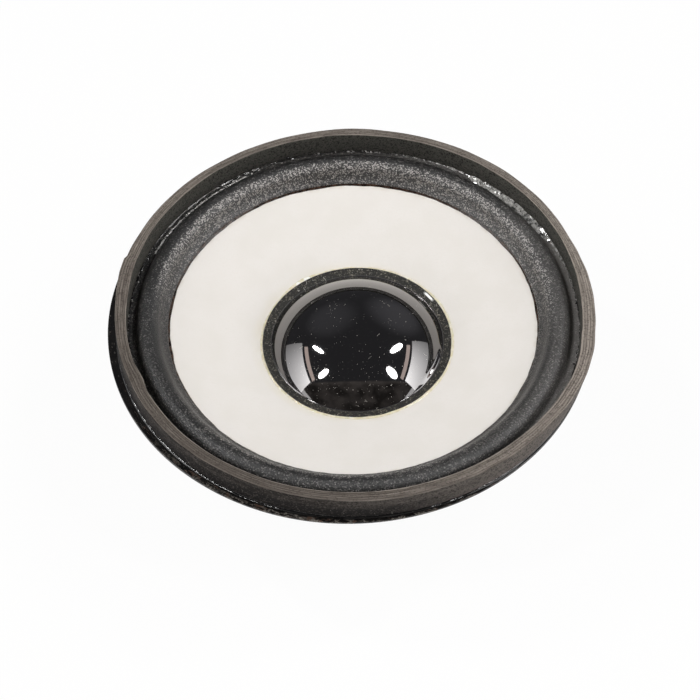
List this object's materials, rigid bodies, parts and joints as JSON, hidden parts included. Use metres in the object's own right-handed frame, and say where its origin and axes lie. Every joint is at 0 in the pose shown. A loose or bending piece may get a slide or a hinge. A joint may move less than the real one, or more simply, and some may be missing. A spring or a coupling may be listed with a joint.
{
  "type": "loudspeaker driver",
  "caption": "Round moving-coil loudspeaker driver: white paper cone, black dust cap, foam roll, tall board gasket and ferrite motor in a pressed steel basket.",
  "frame": {"origin": "centre of the back plate's rear face, where the driver rests when it lies face up", "axes": "+Z along the axis towards the listener; the terminals are on the -Y side"},
  "size_m": [0.13, 0.13, 0.05],
  "materials": {
    "black_enamel": "gloss",
    "wound_board": "matte",
    "rubber_cement": "gloss",
    "charcoal_foam": "matte",
    "varnished_cloth": "satin",
    "plated_steel": "satin",
    "ferrite": "matte",
    "turned_steel": "satin",
    "rivet_steel": "satin",
    "phenolic_board": "satin",
    "tinned_brass": "satin",
    "copper_braid": "satin",
    "white_paper": "matte",
    "brown_cement": "satin",
    "black_lacquer": "gloss",
    "amber_cement": "satin",
    "kraft_paper": "matte",
    "enamelled_wire": "gloss"
  },
  "bodies": {
    "chassis": {"basket": "black_enamel", "gasket": "wound_board", "gasket_glue": "rubber_cement", "surround": "charcoal_foam", "spider": "varnished_cloth", "top_plate": "plated_steel", "magnet": "ferrite", "back_plate": "plated_steel", "pole_piece": "turned_steel", "motor_rivets": "rivet_steel", "terminal_board": "phenolic_board", "board_rivet": "rivet_steel", "left_tag": "tinned_brass", "right_tag": "tinned_brass", "tag_eyelets": "tinned_brass", "left_lead": "copper_braid", "right_lead": "copper_braid"},
    "diaphragm": {"cone": "white_paper", "surround_glue": "brown_cement", "dust_cap": "black_lacquer", "cap_glue": "amber_cement", "coil_former": "kraft_paper", "coil_winding": "enamelled_wire", "coil_tails": "enamelled_wire", "neck_glue": "brown_cement", "cone_eyelets": "tinned_brass"}
  },
  "joints": [
    {"name": "coil_travel", "type": "slide", "parent": "chassis", "child": "diaphragm", "axis": [0, 0, 1], "range_m": [-0.003, 0.003], "stiffness_N_per_m": 1400, "deforming": ["surround", "spider", "left_lead", "right_lead"]}
  ]
}
